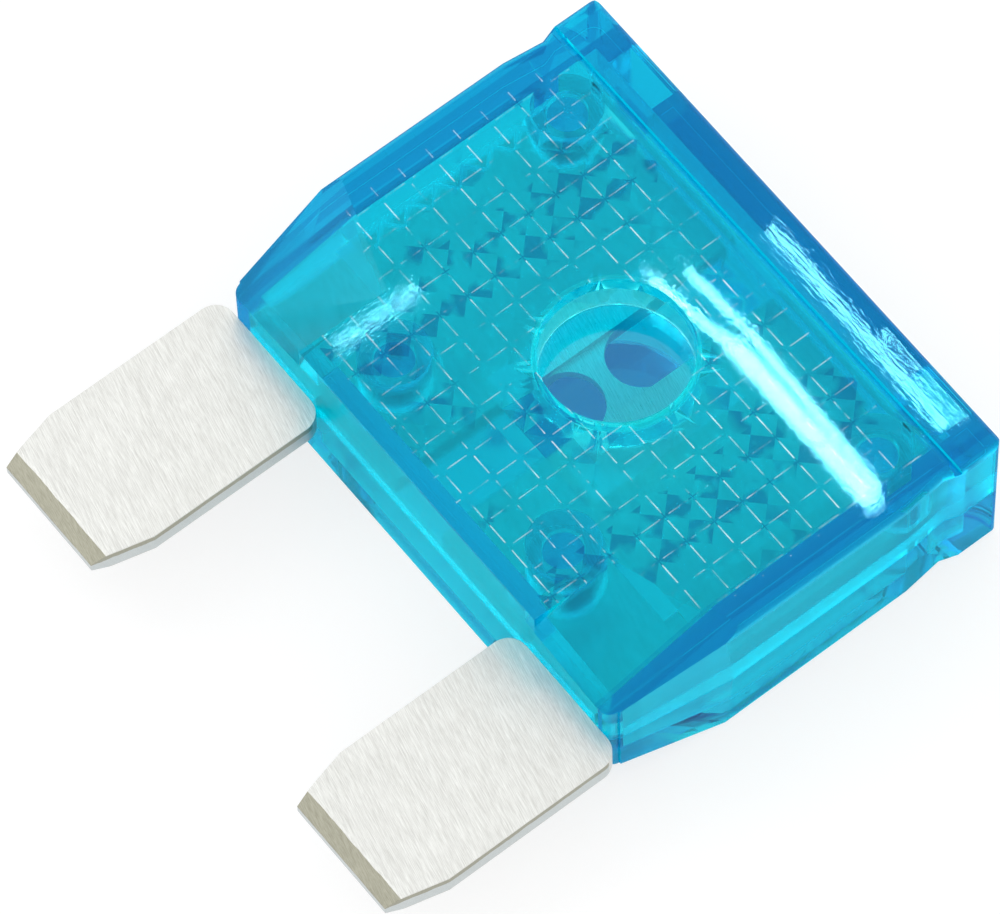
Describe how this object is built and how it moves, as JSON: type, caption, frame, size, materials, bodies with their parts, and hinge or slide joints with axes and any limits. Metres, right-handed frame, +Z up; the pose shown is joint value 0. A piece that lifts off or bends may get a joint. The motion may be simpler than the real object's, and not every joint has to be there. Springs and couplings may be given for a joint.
{
  "type": "automotive blade fuse",
  "caption": "Large plug-in vehicle fuse: clear blue two-part moulded housing with a grip rail, holding a stamped metal strip that ends in two flat bevelled blades.",
  "frame": {"origin": "centre of the footprint, on the surface the fuse lies on", "axes": "+X across the two blades, +Y from the blade tips towards the grip rail, +Z up through the thickness, front face up"},
  "size_m": [0.0292, 0.0342, 0.0086],
  "materials": {
    "clear_blue": "clear tinted, glossy",
    "zinc": "plain zinc strip, fine rolling lines across the blades"
  },
  "bodies": {
    "root": {"front_shell": "clear_blue", "rear_shell": "clear_blue", "fuse_element": "zinc"}
  },
  "joints": []
}
